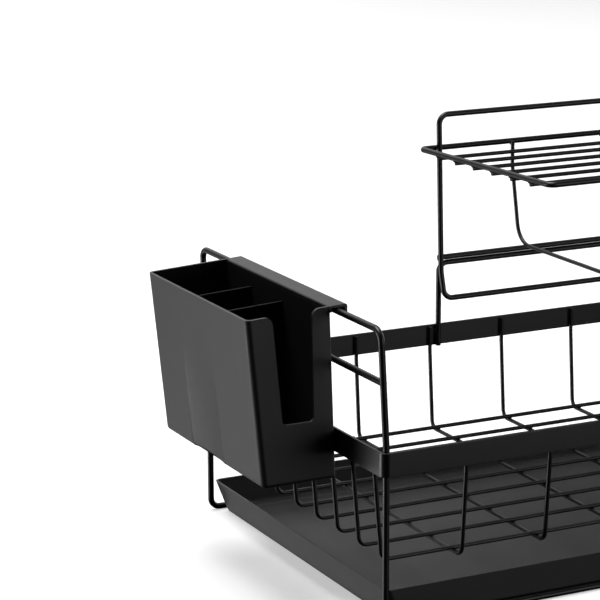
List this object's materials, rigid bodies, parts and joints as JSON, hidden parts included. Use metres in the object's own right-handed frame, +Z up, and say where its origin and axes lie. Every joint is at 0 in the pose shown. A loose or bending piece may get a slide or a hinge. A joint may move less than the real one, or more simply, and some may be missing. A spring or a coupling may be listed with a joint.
{
  "type": "dish drying rack",
  "caption": "Black wire dish rack with a raised plate tier at the rear, a cutlery bin hooked on one end and a sliding drip tray.",
  "frame": {"origin": "bottom centre of the whole part's box, on the surface that the rack stands on", "axes": "+X along the rack towards the plate tier's end, +Y from the front to the rear stand, +Z up"},
  "size_m": [0.5186, 0.2842, 0.2875],
  "materials": {
    "black_coating": "satin black powder coat on steel",
    "tray_plastic": "matte dark grey moulded plastic",
    "holder_plastic": "matte black moulded plastic"
  },
  "bodies": {
    "rack": {"rim_band": "black_coating", "basket_cross_wire_1": "black_coating", "basket_cross_wire_2": "black_coating", "basket_cross_wire_3": "black_coating", "basket_cross_wire_4": "black_coating", "basket_cross_wire_5": "black_coating", "basket_cross_wire_6": "black_coating", "basket_cross_wire_7": "black_coating", "basket_cross_wire_8": "black_coating", "basket_cross_wire_9": "black_coating", "basket_deep_wire_1": "black_coating", "basket_deep_wire_2": "black_coating", "basket_deep_wire_3": "black_coating", "basket_deep_wire_4": "black_coating", "basket_deep_wire_5": "black_coating", "basket_deep_wire_6": "black_coating", "side_frame_left": "black_coating", "side_frame_right": "black_coating", "side_bar_left": "black_coating", "side_bar_right": "black_coating", "rear_stand": "black_coating"},
    "drip_tray": {"drip_tray": "tray_plastic"},
    "cutlery_holder": {"cutlery_holder": "holder_plastic"},
    "upper_tier": {"upright_loop": "black_coating", "upright_crossbar": "black_coating", "plate_rack_frame": "black_coating", "plate_slot_wire_1": "black_coating", "plate_slot_wire_2": "black_coating", "plate_slot_wire_3": "black_coating", "plate_slot_wire_4": "black_coating", "plate_slot_wire_5": "black_coating", "plate_slot_wire_6": "black_coating", "plate_cradle_wire_1": "black_coating", "plate_cradle_wire_2": "black_coating"}
  },
  "joints": [
    {"name": "tray_slide", "type": "slide", "parent": "rack", "child": "drip_tray", "axis": [1, 0, 0], "range_m": [-0.44, 0.44]},
    {"name": "holder_lift", "type": "slide", "parent": "rack", "child": "cutlery_holder", "axis": [-0.0373, 0, 0.9993], "range_m": [0, 0.13]},
    {"name": "upper_tier_lift", "type": "slide", "parent": "rack", "child": "upper_tier", "axis": [0, 0, 1], "range_m": [0, 0.12]}
  ]
}
